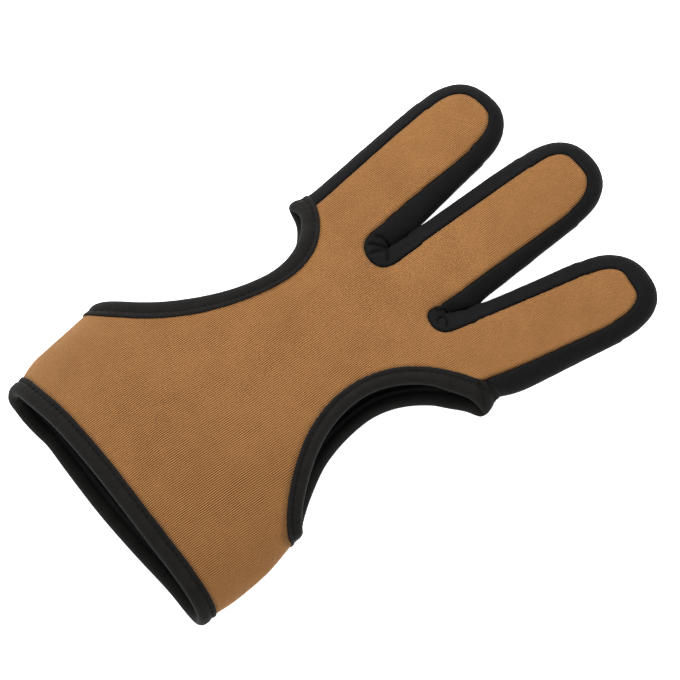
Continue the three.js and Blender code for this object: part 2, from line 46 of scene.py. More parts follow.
# Driving dimensions of the glove, millimetres and degrees, as the solids have them.
HAND_LENGTH = 102
FINGER_BASE = 34.5
WRIST_WIDTH = 110
WRIST_HEIGHT = 30
FOLD_HEIGHT = 11
FINGER_HEIGHT = 12
FINGER_FOLD = 6
FINGER_CROWN = 1
FINGER_TAPER = 1.5
TIP_LENGTH = 21
TIP_POWER = 2.35
FINGER_CORNER = 9
PALM_CORNER = 14
SHEET = 2.5
STRIP = 1.2
STRIP_UNDER = 5.5
CROTCH_SLIT = 0.8
EDGE_LIFT = 1.72
EDGE_LIFT_REACH = 13
SEAM_INSET = 13
WRIST_SLANT = 0.12
STRIP_TAIL = 30.5
WRIST_TAPE_WIDTH = 5.5
CUTOUT_TAPE_WIDTH = 4.9
STITCH_PITCH = 2.3
SHEET_IN_TAPE = 1.3
PANEL_INSET = 3
STITCH_INSET = 1.65

# Steps of the outline, rows and cells of the meshes, and the limits of what the colours read, among them how far
# from seams and tapes the painted shade reads.
OUTLINE_STEP = 0.8
SEAM_STEP = 1.2
RIM_ROWS = (0.35, 0.45, 0.6)
BACK_CELL = 1.3
PALM_CELL = 1.5
STRIP_CELLS = 26
STATIONS_A_STITCH = 6
FAR = 50
EDGE_READ = 12

# Fingers from the thumb side: place across, length, turn and half width, then the strip's width
# from above at the near side's root and end, at the tip, and at the far side's end and root.
FINGERS = [
    dict(across=-35.3, length=68.1, turn=-12.4, half=17.5, near=(7.5, 5.3), tip=8.7, far=(6.7, 6.2)),
    dict(across=-1.4, length=81.1, turn=0.0, half=18.0, near=(5.7, 3.8), tip=7.3, far=(6.8, 6.4)),
    dict(across=33.2, length=68.5, turn=6.4, half=18.1, near=(8.1, 5.5), tip=6.0, far=(5.1, 5.6)),
]
# End of each slit, the strip's width beside it and behind it, and how square its end is.
CROTCHES = [
    dict(x=34.2, y=-16.5, back=6.4, near=7.0, far=2.4, square=(3.2, 4.0)),
    dict(x=36.0, y=16.9, back=9.1, near=6.9, far=6.4, square=(4.0, 2.4)),
]
# Where the cloth has settled away from its plain form: place, reach, and shift along and across.
SETTLED = [
    (-98, 57, 9, 6, -2.1, -3.0),
    (-98, 53, 12, 18, -1.0, -0.1),
    (-90, 59, 13, 7, 0, 1.0),
    (-97, 45, 24, 8, -0.5, -0.1),
    (-104, 48, 4, 7, -0.5, 0),
    (-55, 59, 13, 10, 0.5, 0.7),
    (-57, -48, 10, 6, 1.2, -0.5),
    (-64, -51.5, 10, 6, 1.2, 0.9),
    (-58, -51, 9, 4.5, 2.1, 2.4),
    (29, 11.5, 8, 4.5, -0.4, -0.4),
    (30.5, -21.6, 8, 4.5, -0.4, -0.5),
    (-93, -18, 28, 20, -0.6, -0.1),
    (-104, 5, 1, 20, -0.9, -0.1),
    (-102, -36, 3, 14, 0.9, 0.1),
    (-99, -52, 9, 8, -0.3, 1.1),
    (-102, 35, 2, 4, 0.4, 0),
    (-102, 30, 2, 4.5, 0.2, 0),
    (21, 50, 6, 4.8, -2.6, 1.8),
    (14, -28, 12, 20, 1.4, 1.5),
    (23, -51, 5, 4.6, -2.0, -2.1),
    (32, -50.5, 5, 4, -1.7, 0.8),
    (29, -52, 6, 5, 1.2, 1.3),
    (36, -16, 7, 6, 0.8, 0.7),
    (88, 50, 8, 18, 0.2, -0.5),
    (99, -43, 8, 9, -0.2, -0.3),
    (97, -57, 8, 9, 0.4, -0.3),
    (45, -59, 5, 14, 0, -0.4),
    (75, -61, 5, 14, 0, -0.4),
    (111, 0, 8, 11, 0.3, 0),
    (98, 37, 8, 10, 0.7, -0.3),
    (94, 49, 8, 10, 0.2, 0.2),
    (98, 15, 8, 12, -0.1, -0.5),
]
# Creases pressed into the black cloth, and darkened there with painted shade, in plan: depth, half width, and the
# points of the line.
CREASES = [
    (0.65, 0.62, [(35.6, 16.5), (36.3, 18.6), (35.6, 20.8), (34.2, 22.0)]),
    (0.75, 0.60, [(34.8, 16.7), (33.1, 18.0), (31.5, 20.2), (30.4, 20.9)]),
    (0.70, 0.62, [(33.7, 15.6), (31.8, 16.7), (29.7, 17.6), (28.6, 17.6)]),
    (0.60, 0.60, [(34.5, 16.1), (33.4, 13.9), (31.7, 12.0)]),
    (0.50, 0.50, [(34.7, -15.6), (33.8, -14.6), (32.1, -14.0)]),
    (0.65, 0.50, [(31.3, -16.9), (32.6, -18.2), (32.5, -19.8), (31.2, -20.9)]),
    (0.45, 0.45, [(31.3, -16.9), (29.6, -17.4), (29.0, -18.8)]),
    (0.60, 0.60, [(27.9, -43.0), (28.5, -46.8), (28.2, -49.8), (27.2, -52.6)]),
    (0.40, 0.70, [(25.4, -40.1), (25.8, -43.8), (25.3, -47.2), (24.0, -49.9)]),
]
# Place, thumb fold, little fold, fold height, top and corner, as shares of the sizes above.
SECTIONS = [
    (-1.0, -0.477, 0.518, 0.367, 1.0, 1.0),
    (-0.77, -0.471, 0.553, 0.367, 0.96, 1.0),
    (-0.587, -0.45, 0.567, 0.35, 0.86, 0.95),
    (-0.37, -0.41, 0.5, 0.3, 0.73, 0.8),
    (-0.14, -0.4, 0.45, 0.25, 0.62, 0.6),
]
# Place, top and corner along the fingers.
KNUCKLES = [(0.232, 1.3, 0.32), (0.812, 1.08, 0.18), (1.275, 1.0, 0.18)]
# Both ends and the deepest place of each cut-out, then its depth and its fullness towards wrist
# and fingers, in its upper and lower edge, and where its tape is wider: place, reach and share.
THUMB_CUTOUT = dict(
    side=-1, start=-58.5, deepest=-12, end=24, over=(26.8, 1.05, 0.9), under=(22.8, 0.85, 1.15),
    wider=[(27, 10, 0.42)],
)
LITTLE_CUTOUT = dict(
    side=1, start=-60, deepest=-8, end=21.5, over=(22.3, 1.0, 0.66), under=(20.5, 1.0, 0.75),
    wider=[(10, 10, 0.24), (-46, 24, 0.42)],
)
CUTOUTS = [THUMB_CUTOUT, LITTLE_CUTOUT]
CUTOUT_START, CUTOUT_END = LITTLE_CUTOUT["start"], LITTLE_CUTOUT["end"]
KNUCKLE_START = KNUCKLES[0][0] * FINGER_BASE
KNUCKLE_END = KNUCKLES[-1][0] * FINGER_BASE
OUTLINE_START = FINGER_BASE - STRIP_TAIL
SEAM_END = 0.6 * CUTOUT_START
WRIST_EDGE = -HAND_LENGTH
PANEL_START = WRIST_EDGE + SHEET_IN_TAPE


# Form of the glove.

def lerp(a, b, t):
    return a + (b - a) * t


def smoothstep(x, low, high):
    t = np.clip((x - low) / (high - low), 0, 1)
    return t * t * (3 - 2 * t)


def unit(vectors):
    return vectors / np.maximum(np.linalg.norm(vectors, axis=-1), 1e-9)[..., None]


def on_finger(f, along, across):
    turn = math.radians(f["turn"])
    x = FINGER_BASE + math.cos(turn) * along - math.sin(turn) * across
    y = f["across"] + math.sin(turn) * along + math.cos(turn) * across
    return np.array([x, y])


def side_point(f, side, along):
    return on_finger(f, along, side * (f["half"] - FINGER_TAPER * along / f["length"]))


def side_line(f, side, x):
    a = side_point(f, side, 0)
    b = side_point(f, side, f["length"] - TIP_LENGTH)
    return a[1] + (x - a[0]) * (b[1] - a[1]) / (b[0] - a[0])


def slit_mouth(n):
    """Where two neighbouring fingers start to press together."""
    def between(x):
        return side_line(FINGERS[n], 1, x) - side_line(FINGERS[n + 1], -1, x)
    x0 = CROTCHES[n]["x"]
    slope = (between(x0 + 10) - between(x0)) / 10
    x = max(x0 + 6, x0 - between(x0) / slope)
    return np.array([x, (side_line(FINGERS[n], 1, x) + side_line(FINGERS[n + 1], -1, x)) / 2])


def finger_outline(step):
    """The outermost line round the fingers, with the strip's width on top at each point and,
    in the third column, how deep in a crotch's gathers the point is."""
    rows = []

    def add(p, strip, gather=0.0):
        rows.append((p[0], p[1], strip, gather))

    def line_to(a, b, strips, ends=(0.0, 0.0)):
        count = max(2, round(float(np.hypot(*(b - a))) / step))
        for i in range(1, count + 1):
            strip = lerp(strips[0], strips[1], smoothstep(i / count, 0, 1))
            add(lerp(a, b, i / count), strip, lerp(ends[0], ends[1], i / count))

    for n, f in enumerate(FINGERS):
        if n == 0:
            start = np.array([OUTLINE_START, side_line(f, -1, OUTLINE_START)])
            add(start, f["near"][0])
        else:
            start = slit_mouth(n - 1)
        straight = f["length"] - TIP_LENGTH
        line_to(start, side_point(f, -1, straight), f["near"])
        tip_steps = round(60 / step)
        for i in range(1, tip_steps):
            turn = math.radians(-90 + 180 * i / tip_steps)
            along = straight + TIP_LENGTH * math.cos(turn) ** (2 / TIP_POWER)
            across = math.copysign(abs(math.sin(turn)) ** (2 / TIP_POWER), turn) * (f["half"] - FINGER_TAPER)
            strip = lerp(f["near"][1], f["far"][0], i / tip_steps)
            at_tip = (1 - abs(2 * i / tip_steps - 1)) ** 1.5
            add(on_finger(f, along, across), lerp(strip, f["tip"], at_tip))
        tip = side_point(f, 1, straight)
        add(tip, f["far"][0])
        if n == len(FINGERS) - 1:
            line_to(tip, np.array([OUTLINE_START, side_line(f, 1, OUTLINE_START)]), f["far"])
            break
        crotch = CROTCHES[n]
        end = np.array([crotch["x"], crotch["y"]])
        mouth = slit_mouth(n)
        line_to(tip, mouth, f["far"])
        back = unit(mouth - end)
        aside = np.array([-back[1], back[0]])
        half = CROTCH_SLIT / 2
        centre = end + back * half
        line_to(mouth - aside * half, centre - aside * half, (f["far"][1], crotch["near"]), (0.0, 1.0))
        fan = 60
        for i in range(1, fan):
            cosine, sine = math.cos(math.pi * i / fan), math.sin(math.pi * i / fan)
            beside = crotch["near"] if i < fan / 2 else crotch["far"]
            power = crotch["square"][0 if i < fan / 2 else 1]
            strip = ((abs(cosine) / beside) ** power + (sine / crotch["back"]) ** power) ** (-1 / power)
            add(centre - aside * half * cosine - back * half * sine, strip, 1.0 + i / fan)
        add(centre + aside * half, crotch["far"], 2.0)
        widths = crotch["far"], FINGERS[n + 1]["near"][0]
        line_to(centre + aside * half, mouth + aside * half, widths, (2.0, 3.0))
    return np.array(rows)


OUTLINE = finger_outline(1.0)


def eased(values, spread):
    """Values along an open line, with their steps eased over a few neighbours."""
    reach = round(3 * spread)
    weight = np.exp(-0.5 * (np.arange(-reach, reach + 1) / spread) ** 2)
    padded = np.concatenate([np.repeat(values[:1], reach), values, np.repeat(values[-1:], reach)])
    return np.convolve(padded, weight / weight.sum(), "valid")


def strip_rows(step):
    """The outline with the strip's eased width and the gather place, and the way inwards."""
    rows = finger_outline(step)
    along = unit(np.gradient(rows[:, :2], axis=0))
    inward = unit(np.stack([eased(-along[:, 1], 2.5), eased(along[:, 0], 2.5)], 1))
    rows[:, 2] = eased(rows[:, 2], 4)
    return rows, inward


def distance_to(points, x, y):
    """Distance in plan from each place to a line through points."""
    a, b = points[:-1], points[1:]
    d = b - a
    length2 = np.maximum((d ** 2).sum(1), 1e-12)
    x, y = np.broadcast_arrays(np.asarray(x, float), np.asarray(y, float))
    flat_x, flat_y = x.ravel(), y.ravel()
    out = np.empty(flat_x.size)
    for i in range(0, flat_x.size, 4000):
        px, py = flat_x[i:i + 4000, None], flat_y[i:i + 4000, None]
        t = np.clip(((px - a[:, 0]) * d[:, 0] + (py - a[:, 1]) * d[:, 1]) / length2, 0, 1)
        out[i:i + 4000] = np.sqrt(((px - a[:, 0] - t * d[:, 0]) ** 2 + (py - a[:, 1] - t * d[:, 1]) ** 2).min(1))
    return out.reshape(x.shape)


def soft_curve(pairs):
    """A smooth curve through (x, value) pairs that never swings past them."""
    px, pv = np.array(pairs, float).T
    rate = np.diff(pv) / np.diff(px)
    left, right = rate[:-1], rate[1:]
    same = left * right > 0
    slope = np.zeros(len(px))
    slope[1:-1] = np.where(same, 2 * left * right / np.where(same, left + right, 1), 0)

    def at(x):
        x = np.clip(x, px[0], px[-1])
        i = np.clip(np.searchsorted(px, x, side="right") - 1, 0, len(px) - 2)
        span = px[i + 1] - px[i]
        t = (x - px[i]) / span
        swing = span * (slope[i] * t * (1 - t) ** 2 - slope[i + 1] * t * t * (1 - t))
        return lerp(pv[i], pv[i + 1], t * t * (3 - 2 * t)) + swing
    return at


def stations():
    rows = [
        (
            place * HAND_LENGTH, thumb * WRIST_WIDTH, little * WRIST_WIDTH,
            fold / SECTIONS[0][3] * FOLD_HEIGHT, top * WRIST_HEIGHT, corner,
        )
        for place, thumb, little, fold, top, corner in SECTIONS
    ]
    for place, top, corner in KNUCKLES:
        x = place * FINGER_BASE
        rows.append((
            x, side_line(FINGERS[0], -1, x), side_line(FINGERS[2], 1, x),
            FINGER_FOLD, top * FINGER_HEIGHT, corner,
        ))
    return rows


CURVES = [soft_curve([(row[0], row[k]) for row in stations()]) for k in range(1, 6)]


def section(x):
    """Centre, half width, fold height, top and corner radius of the hand at x."""
    beyond = x > KNUCKLE_START
    thumb = np.where(beyond, side_line(FINGERS[0], -1, x), CURVES[0](x))
    little = np.where(beyond, side_line(FINGERS[2], 1, x), CURVES[1](x))
    half = (little - thumb) / 2
    return (little + thumb) / 2, half, CURVES[2](x), CURVES[3](x), CURVES[4](x) * half


def y_at(x, turn):
    centre, half = section(x)[:2]
    return centre + half * np.sin(turn)


def turn_at(x, y):
    """The turn of the upper skin over a place in plan."""
    centre, half = section(x)[:2]
    return np.arcsin(np.clip((y - centre) / half, -1, 1))


def corner_rise(inward, radius):
    t = 1 - np.clip(inward / radius, 0, 1)
    return np.sqrt(np.maximum(1 - t * t, 0))


def finger_share(x, to_outline):
    in_plan = smoothstep(x, KNUCKLE_START, KNUCKLE_END)
    near = np.where(x > OUTLINE_START, 1 - smoothstep(to_outline, FINGER_CORNER / 1.5, FINGER_CORNER * 1.7), 0)
    return np.maximum(in_plan, near * smoothstep(x, OUTLINE_START + 2, OUTLINE_START + 14))


def hand_top(x, y):
    centre, half, fold, top, corner = section(x)
    q = np.minimum(np.abs(y - centre) / half, 1)
    crown = 0.3 * (1 - np.minimum(corner / half, 1))
    return fold + (top - fold) * ((1 - crown) * corner_rise(half * (1 - q), corner) + crown * (1 - q * q))


def to_outline(x, y, least):
    """Distance in plan to the outline, worked out only where it matters."""
    x, y = np.broadcast_arrays(np.asarray(x, float), np.asarray(y, float))
    out = np.full(x.shape, 60.0)
    near = x > OUTLINE_START - 1
    out[near] = distance_to(OUTLINE[:, :2], x[near], y[near])
    return np.maximum(out, least)


def top_at(x, y, least=0.0):
    hand = hand_top(x, y)
    inside = to_outline(x, y, least)
    q = 1 - np.minimum(inside / FINGERS[1]["half"], 1)
    finger = (FINGER_FOLD + FINGER_CROWN * (1 - q * q)
              + (FINGER_HEIGHT - FINGER_CROWN - FINGER_FOLD) * corner_rise(inside, FINGER_CORNER))
    return np.where(x < OUTLINE_START, hand, lerp(hand, finger, finger_share(x, inside)))


def lower_corner(x):
    return lerp(PALM_CORNER, FINGER_CORNER, smoothstep(x, CUTOUT_START, CUTOUT_END))


def hand_underside(x, y):
    centre, half, fold = section(x)[:3]
    inward = np.maximum(half - np.abs(y - centre), 0)
    return fold * (1 - corner_rise(inward, lower_corner(x)))


def underside_at(x, y, least=0.0):
    z = hand_underside(x, y)
    inside = to_outline(x, y, least)
    finger = FINGER_FOLD * (1 - corner_rise(inside, FINGER_CORNER))
    z = np.where(x > OUTLINE_START, lerp(z, finger, finger_share(x, inside)), z)
    lift = EDGE_LIFT * (1 - smoothstep(to_bound_edge(x, y), EDGE_LIFT_REACH / 3, EDGE_LIFT_REACH))
    return z + lift * (1 - z / section(x)[2])


def cutout_y(cutout, x, layer):
    """The cut-out's edge in plan, for its over or under layer."""
    def fold_y(at):
        centre, half = section(np.float64(at))[:2]
        return centre + cutout["side"] * half
    start, deepest, end = cutout["start"], cutout["deepest"], cutout["end"]
    depth, to_wrist, to_fingers = cutout[layer]
    line = lerp(fold_y(start), fold_y(end), (x - start) / (end - start))
    back = x < deepest
    u = np.clip((x - deepest) / np.where(back, start - deepest, end - deepest), 0, 1)
    return line - cutout["side"] * depth * (1 - u * u) ** np.where(back, to_wrist, to_fingers)


def to_cutouts(x, y, layer):
    """Distance in plan to the nearest cut-out's edge."""
    lines = []
    for cutout in CUTOUTS:
        along = np.linspace(cutout["start"], cutout["end"], 49)
        lines.append(distance_to(np.stack([along, cutout_y(cutout, along, layer)], 1), x, y))
    return np.minimum(*lines)


def to_bound_edge(x, y):
    return np.minimum(x - WRIST_EDGE, to_cutouts(x, y, "under"))


def beyond_tape(x, y, layer):
    """How far cloth is from the outer edge of the nearest binding tape over it; the brown colour is darkened with
    painted shade close to that edge.
    """
    from_wrist = x - WRIST_EDGE - WRIST_TAPE_WIDTH
    return np.maximum(np.minimum(from_wrist, to_cutouts(x, y, layer) - CUTOUT_TAPE_WIDTH), 0)


def skin(x, turn, least=0.0):
    """The outer skin. turn is 0 at the crown, +90 degrees at the little-finger side fold,
    -90 at the thumb side fold and 180 in the middle of the palm. Nearer to the outline than
    least, it keeps the height that it has there."""
    x, turn = np.broadcast_arrays(np.asarray(x, float), np.asarray(turn, float))
    y = y_at(x, turn)
    z = np.where(np.cos(turn) >= 0, top_at(x, y, least), underside_at(x, y, least))
    slant = WRIST_SLANT * (1 - smoothstep(x, WRIST_EDGE + 4, CUTOUT_START + 12))
    return np.stack([x + slant * z, y, z], -1)


def outward_at(x, turn, least=0.0):
    along = skin(x + 0.4, turn, least) - skin(x - 0.4, turn, least)
    around = skin(x, turn + 0.012, least) - skin(x, turn - 0.012, least)
    return unit(np.cross(along, around))


def place_on_skin(p, side):
    """The (x, turn) place on the skin nearest to points a little off it."""
    x, y, z = p[..., 0], p[..., 1], p[..., 2]
    centre, half, fold, _, corner = section(x)
    over = z >= fold
    radius = np.where(over, corner, lower_corner(x))
    rise = np.where(over, top_at(x, centre + side * (half - radius)) - fold, fold)
    in_from = half - side * (y - centre)
    angle = np.arctan2(np.abs(z - fold) / rise, 1 - in_from / radius)
    inward = np.where(in_from < radius, radius * (1 - np.cos(angle)), in_from)
    turn = side * np.arcsin(np.clip(1 - inward / half, -1, 1))
    return x, np.where(over, turn, side * math.pi - turn)


def smoothed_round(values, times):
    for _ in range(times):
        values = 0.5 * values + 0.25 * (np.roll(values, 1, 0) + np.roll(values, -1, 0))
    return values


def round_step(values, axis=0):
    """From the point before to the point after, round a closed line."""
    return np.roll(values, -1, axis) - np.roll(values, 1, axis)


def cutout_frames(cutout, count):
    """Points round a cut-out's edge, evenly spaced, each with the direction into the cloth."""
    turn = np.linspace(0, 2 * math.pi, 4 * count, endpoint=False)
    x = lerp(cutout["start"], cutout["end"], (1 - np.cos(turn)) / 2)
    over = np.sin(turn) >= 0
    place = turn_at(x, np.where(over, cutout_y(cutout, x, "over"), cutout_y(cutout, x, "under")))
    place = np.where(over, place, cutout["side"] * math.pi - place)
    points = smoothed_round(evenly(skin(x, place), count), 6)
    outward = outward_at(*place_on_skin(points, cutout["side"]))
    away = unit(np.cross(round_step(points), outward))
    flip = np.sign((away * (points - points.mean(0))).sum(1).sum())
    return points, smoothed_round(away * flip, 6)


def reaches(points, least=0.0):
    """How far along a line each of its points is, with steps of at least so much."""
    steps = np.linalg.norm(np.diff(points, axis=0), axis=1)
    return np.concatenate([[0], np.cumsum(np.maximum(steps, least))])


def resampled(rows, reach, at):
    return np.stack([np.interp(at, reach, rows[:, k]) for k in range(rows.shape[1])], 1)


def evenly(points, count):
    """count points evenly spaced round a closed line."""
    ring = np.vstack([points, points[:1]])
    reach = reaches(ring)
    return resampled(ring, reach, np.linspace(0, reach[-1], count, endpoint=False))


# Mesh making.

def add_object(name, data):
    obj = bpy.data.objects.new(name, data)
    bpy.context.scene.collection.objects.link(obj)
    return obj


def mesh_object(bm, name, materials):
    mesh = bpy.data.meshes.new(name)
    for face in bm.faces:
        face.smooth = True
    bm.to_mesh(mesh)
    bm.free()
    for material in materials:
        mesh.materials.append(material)
    obj = add_object(name, mesh)
    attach(obj, "root")
    return obj


def store(bm, name, values):
    """Keeps one vector for each vertex, for the materials to read."""
    layer = bm.verts.layers.float_vector.get(name) or bm.verts.layers.float_vector.new(name)
    for vert, value in zip(bm.verts, values):
        vert[layer] = value


def bent_grid(rows, columns, place, weld=False):
    """A grid bent by place(u, v), which gives points in millimetres, cloth coordinates and how
    open the cloth lies there, from 0 deep in a crease to 1, which the black materials darken as painted shade."""
    bm = bmesh.new()
    bmesh.ops.create_grid(bm, x_segments=rows, y_segments=columns, size=1)
    bm.verts.ensure_lookup_table()
    flat = np.array([vert.co[:2] for vert in bm.verts]) / 2 + 0.5
    u = np.round(flat[:, 0] * rows).astype(int)
    v = np.round(flat[:, 1] * columns).astype(int)
    points, cloth, shade = place(u, v)
    for vert, p in zip(bm.verts, points * MM):
        vert.co = p
    store(bm, "cloth", cloth * MM)
    store(bm, "open", np.repeat(shade[:, None], 3, 1))
    if weld:
        bmesh.ops.remove_doubles(bm, verts=bm.verts, dist=2e-6)
    return bm


def solidify(obj, thickness, lining=0):
    """Thickens a piece inwards. lining is the material of its inner face and cut edges."""
    wall = obj.modifiers.new("wall", "SOLIDIFY")
    wall.thickness = thickness * MM
    wall.offset = -1
    wall.use_even_offset = False
    wall.material_offset = lining
    wall.material_offset_rim = lining


# Arc length round the hand's section, from the crown, so that the cloth isn't stretched.
ARC_X = np.arange(-106.0, 122.0, 1.0)
ARC_TURN = np.linspace(-math.pi, math.pi, 1441)


def arc_table():
    x, turn = np.meshgrid(ARC_X, ARC_TURN, indexing="ij")
    y = y_at(x, turn)
    z = np.where(np.cos(turn) >= 0, hand_top(x, y), hand_underside(x, y))
    step = np.hypot(np.diff(y, axis=1), np.diff(z, axis=1))
    arc = np.concatenate([np.zeros((len(ARC_X), 1)), np.cumsum(step, axis=1)], axis=1)
    return arc - arc[:, [len(ARC_TURN) // 2]]


ARC = arc_table()


def arc_row(x):
    place = np.clip((x - ARC_X[0]) / (ARC_X[1] - ARC_X[0]), 0, len(ARC_X) - 1.001)
    i = int(place)
    return lerp(ARC[i], ARC[i + 1], place - i)


def arcs_of(x, turn):
    middle = section(np.asarray(x, float))[0]
    return np.array([np.interp(t, ARC_TURN, arc_row(at)) for at, t in zip(x, turn)]) + middle


def turns_of(x, arc):
    middle = section(np.asarray(x, float))[0]
    return np.array([np.interp(s, arc_row(at), ARC_TURN) for at, s in zip(x, arc - middle)])


def cut_pattern(outline, cell, rims):
    """Flat cloth cut to an outline, with fine rows along its edge and even cells inside."""
    bm = bmesh.new()
    cloth = bm.faces.new([bm.verts.new((p[0], p[1], 0)) for p in outline])
    for rim in rims:
        bmesh.ops.inset_region(bm, faces=[cloth], thickness=rim, use_boundary=True)
    low, high = np.min(outline, 0), np.max(outline, 0)
    for axis, direction in enumerate(((1, 0, 0), (0, 1, 0))):
        for at in np.arange(low[axis] + cell / 2, high[axis], cell):
            geom = bm.verts[:] + bm.edges[:] + bm.faces[:]
            bmesh.ops.bisect_plane(bm, geom=geom, dist=0.02, plane_co=Vector(direction) * at, plane_no=direction)
    bmesh.ops.dissolve_degenerate(bm, dist=0.01, edges=bm.edges)
    return bm


def seam_dip(distance, reach=1.3, depth=1.0):
    """How far cloth rolls down into a seam at a distance from it."""
    t = 1 - np.clip(distance / reach, 0, 1)
    return depth * (1 - np.sqrt(np.maximum(1 - t * t, 0)))


# Panels.

def settled(points):
    """Points, in millimetres, moved to where the lying cloth has settled."""
    moved = points.copy()
    for x, y, z, reach, along, across in SETTLED:
        away = (points[..., 0] - x) ** 2 + (points[..., 1] - y) ** 2 + (points[..., 2] - z) ** 2
        near = np.exp(-away / reach ** 2)
        moved[..., 0] += along * near
        moved[..., 1] += across * near
    return moved


def creased(points):
    """How far the creases press into the cloth at each point, and how open it stays, 0 to 1; the black materials
    darken the colour by the second as painted shade in the creases.
    """
    depth = np.zeros(points.shape[:-1])
    for deep, width, line in CREASES:
        away = distance_to(np.array(line), points[..., 0], points[..., 1])
        depth = np.maximum(depth, deep * np.exp(-(away / width) ** 2))
    return depth, 1 - np.clip(depth / 0.65, 0, 1)


def palm_seam(side, x):
    centre, half = section(x)[:2]
    inset = lerp(SEAM_INSET, SEAM_INSET / 2, smoothstep(x, CUTOUT_START - 12, SEAM_END))
    return centre + side * (half - inset)


def to_palm_seam(side, x, y):
    line_x = np.linspace(WRIST_EDGE - 4, -40, 60)
    return distance_to(np.stack([line_x, palm_seam(side, line_x)], 1), x, y)


def bound_edge(cutout, inset):
    """A cut-out's edge moved into the cloth, as (x, turn), its over part and its under part,
    both from the wrist end to the finger end."""
    points, away = cutout_frames(cutout, 420)
    x, turn = place_on_skin(points + away * inset, cutout["side"])
    over = np.abs(turn) < math.pi / 2
    first = np.argmin(np.where(over, x, 1e9))
    x, turn, over = (np.roll(a, -first) for a in (x, turn, over))
    if not over[1]:
        x, turn, over = (np.roll(a[::-1], 1) for a in (x, turn, over))
    edge = np.stack([x, turn], 1)
    return edge[over], edge[~over][::-1]


def last_before_strip(side, x, y, seam):
    """The last point of a cut-out's edge before it meets the finger strip's seam line."""
    strip = seam[:50] if side < 0 else seam[-50:][::-1]
    inside = (x < strip[0, 0]) | (side * (y - np.interp(x, strip[:, 0], strip[:, 1])) < 0)
    return len(x) - 1 - int(np.argmax(inside[::-1]))


def between_cutouts(seam, reach):
    """The part of the strip's seam line beyond where each cut-out's edge meets it."""
    start = int(np.argmax(seam[:, 0] > reach[-1]))
    return seam[start:len(seam) - int(np.argmax(seam[::-1, 0] > reach[1]))]


def wrist_line(sides, count):
    across = np.linspace(sides[-1][0, 1], sides[1][0, 1], count)
    return np.stack([np.full(count, PANEL_START), across], 1)[1:-1]


def back_outline():
    """The back panel's edge as (x, arc), and its seam with the finger strip in plan."""
    rows, inward = strip_rows(OUTLINE_STEP)
    upper_seam = rows[:, :2] + inward * rows[:, 2:3]
    sides, reach = {}, {}
    for cutout in CUTOUTS:
        side = cutout["side"]
        top, under = bound_edge(cutout, SHEET_IN_TAPE)
        stop = int(np.argmax(side * (palm_seam(side, under[:, 0]) - y_at(*under.T)) > 0))
        # The corner where the seam meets the cut-out is trimmed, so that it stays in the tape.
        seam_x = np.arange(PANEL_START, under[stop, 0] - 2.2, SEAM_STEP)
        seam = np.stack([seam_x, side * math.pi - turn_at(seam_x, palm_seam(side, seam_x))], 1)
        last = last_before_strip(side, top[:, 0], y_at(*top.T), upper_seam)
        sides[side] = np.vstack([seam, under[:stop - 5][::-1], top[:last + 1]])
        reach[side] = top[last, 0]
    fingers = between_cutouts(upper_seam, reach)
    fingers = np.stack([fingers[:, 0], turn_at(*fingers.T)], 1)
    x, turn = np.vstack([sides[-1][::-1], wrist_line(sides, 200), sides[1], fingers[::-1]])[::-1].T
    return np.stack([x, arcs_of(x, turn)], 1), upper_seam


def palm_outline():
    """The palm panel's edge and its seam with the finger strip, both in plan."""
    rows, inward = strip_rows(OUTLINE_STEP)
    lower_seam = rows[:, :2] + inward * STRIP_UNDER
    sides, reach = {}, {}
    for cutout in CUTOUTS:
        side = cutout["side"]
        x, turn = bound_edge(cutout, SHEET_IN_TAPE)[1].T
        y = y_at(x, turn)
        start = int(np.argmax(side * (palm_seam(side, x) - y) > 0))
        last = last_before_strip(side, x, y, lower_seam)
        seam_x = np.arange(PANEL_START, x[start], SEAM_STEP)
        seam = np.stack([seam_x, palm_seam(side, seam_x)], 1)
        sides[side] = np.vstack([seam, np.stack([x, y], 1)[start:last + 1]])
        reach[side] = x[last]
    fingers = between_cutouts(lower_seam, reach)
    return np.vstack([sides[-1], fingers, sides[1][::-1], wrist_line(sides, 90)[::-1]]), lower_seam


def area(ring):
    return 0.5 * float(np.sum(ring[:, 0] * np.roll(ring[:, 1], -1) - np.roll(ring[:, 0], -1) * ring[:, 1]))


def ready_ring(points, way, least=0.5):
    """Points of a ring with near neighbours left out, going round the way given."""
    kept = [points[0]]
    for p in points[1:]:
        if np.hypot(*(p - kept[-1])) >= least:
            kept.append(p)
    if np.hypot(*(kept[-1] - kept[0])) < least:
        kept.pop()
    ring = np.array(kept)
    return ring if way * area(ring) > 0 else ring[::-1]


def bent_panel(pattern, points, cloth, name, materials):
    """A cut pattern bent to its points, with its thickness and its lining inside."""
    for vert, p in zip(pattern.verts, settled(points) * MM):
        vert.co = p
    store(pattern, "cloth", cloth * MM)
    obj = mesh_object(pattern, name, materials)
    solidify(obj, SHEET, lining=1)
    return obj


